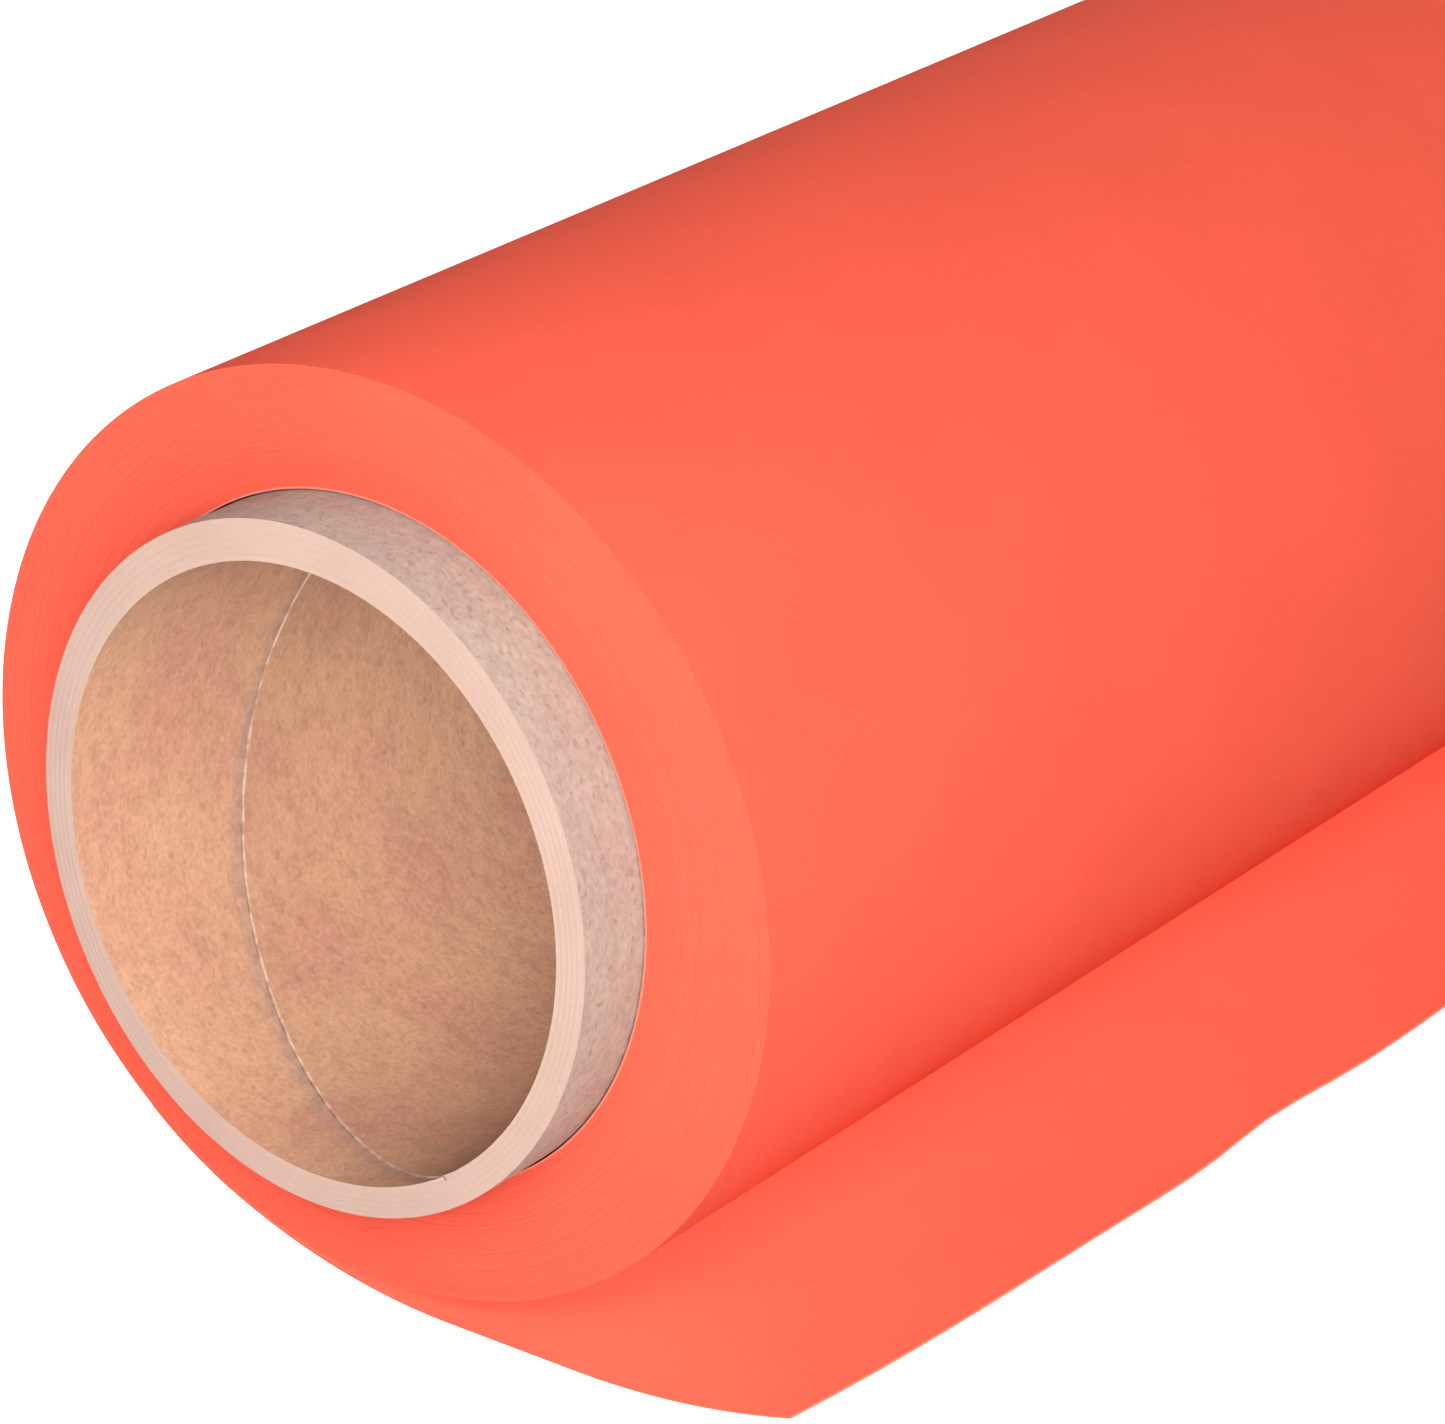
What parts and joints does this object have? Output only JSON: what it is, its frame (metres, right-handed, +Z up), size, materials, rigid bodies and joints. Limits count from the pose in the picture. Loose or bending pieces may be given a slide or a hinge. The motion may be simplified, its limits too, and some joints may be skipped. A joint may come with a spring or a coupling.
{
  "type": "backdrop paper roll",
  "caption": "Seamless background paper wound on a spiral board core, with its free end paid out along the floor and curled up at the edge.",
  "frame": {"origin": "on the floor, at the centre of the whole object's bottom face", "axes": "+Y along the roll's axis, +Z up, +X towards the free end of the paper"},
  "size_m": [0.0922, 1.366, 0.0885],
  "materials": {
    "coral_paper": "matte dyed background paper",
    "core_liner": "raw kraft liner, fine fibre speckle",
    "core_board": "pale chipboard, cut edge",
    "core_wrap": "mottled pinkish kraft",
    "tape": "cream paper tape"
  },
  "bodies": {
    "tail": {"loose_turn": "coral_paper"},
    "roll": {"core_liner_ply": "core_liner", "core_body_ply_1": "core_board", "core_body_ply_2": "core_board", "core_body_ply_3": "core_board", "core_body_ply_4": "core_board", "core_outer_ply": "core_wrap", "start_tape": "tape", "wound_paper": "coral_paper"},
    "free_end": {"free_end": "coral_paper"}
  },
  "joints": [
    {"name": "unwind", "type": "hinge", "parent": "tail", "child": "roll", "pos_m": [-0.00287, 0, 0.0452], "axis": [0, -1, 0], "continuous": true},
    {"name": "tail_lift", "type": "hinge", "parent": "tail", "child": "free_end", "pos_m": [0.01213, 0, 0.0001], "axis": [0, -1, 0], "range_deg": [0, 35]}
  ]
}
